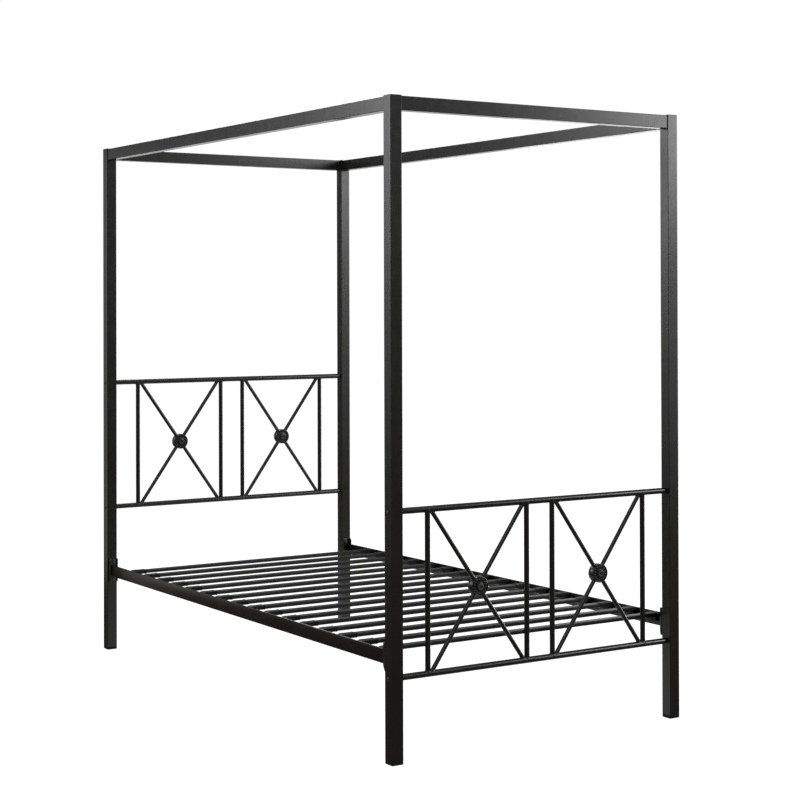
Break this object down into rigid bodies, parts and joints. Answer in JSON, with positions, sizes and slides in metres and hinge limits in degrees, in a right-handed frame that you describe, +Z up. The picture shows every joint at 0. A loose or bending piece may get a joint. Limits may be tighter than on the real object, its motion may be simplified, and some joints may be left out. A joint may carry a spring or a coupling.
{
  "type": "four-poster canopy bed",
  "caption": "Metal four-poster bed frame with square posts, a rectangular canopy frame, barred ends with crossed rods and round rosettes, side rails and cross slats.",
  "frame": {"origin": "on the floor, under the middle of the bed", "axes": "+Z up, +Y along the bed towards the head end, +X across the bed to the right as seen from the foot end"},
  "size_m": [1.04, 2, 1.84],
  "materials": {
    "frame_coat": "satin black powder coat",
    "slat_coat": "satin black powder coat",
    "cap_plastic": "matte black moulded plastic",
    "bolt_steel": "black oxide steel"
  },
  "bodies": {
    "root": {"post_foot_left": "frame_coat", "post_foot_right": "frame_coat", "post_head_left": "frame_coat", "post_head_right": "frame_coat", "post_caps": "cap_plastic", "foot_glides": "cap_plastic", "canopy_rail_left": "frame_coat", "canopy_rail_right": "frame_coat", "canopy_rail_foot": "frame_coat", "canopy_rail_head": "frame_coat", "side_rail_left": "frame_coat", "side_rail_right": "frame_coat", "side_rail_ledge_left": "frame_coat", "side_rail_ledge_right": "frame_coat", "hook_bracket_foot_left": "frame_coat", "hook_bracket_foot_right": "frame_coat", "hook_bracket_head_left": "frame_coat", "hook_bracket_head_right": "frame_coat", "footboard_top_tube": "frame_coat", "footboard_bottom_tube": "frame_coat", "footboard_upright_1": "frame_coat", "footboard_upright_2": "frame_coat", "footboard_upright_3": "frame_coat", "footboard_upright_4": "frame_coat", "footboard_rod_left": "frame_coat", "footboard_rod_right": "frame_coat", "footboard_half_rods": "frame_coat", "footboard_rosette_left": "frame_coat", "footboard_rosette_right": "frame_coat", "headboard_top_tube": "frame_coat", "headboard_bottom_tube": "frame_coat", "headboard_upright_1": "frame_coat", "headboard_upright_2": "frame_coat", "headboard_upright_3": "frame_coat", "headboard_upright_4": "frame_coat", "headboard_rod_left": "frame_coat", "headboard_rod_right": "frame_coat", "headboard_half_rods": "frame_coat", "headboard_rosette_left": "frame_coat", "headboard_rosette_right": "frame_coat", "slat_01": "slat_coat", "slat_02": "slat_coat", "slat_03": "slat_coat", "slat_04": "slat_coat", "slat_05": "slat_coat", "slat_06": "slat_coat", "slat_07": "slat_coat", "slat_08": "slat_coat", "slat_09": "slat_coat", "slat_10": "slat_coat", "slat_11": "slat_coat", "slat_12": "slat_coat", "slat_13": "slat_coat", "slat_14": "slat_coat", "slat_15": "slat_coat", "slat_16": "slat_coat", "slat_end_caps": "cap_plastic", "panel_bolts": "bolt_steel", "bracket_bolts": "bolt_steel", "canopy_screws": "bolt_steel"}
  },
  "joints": []
}
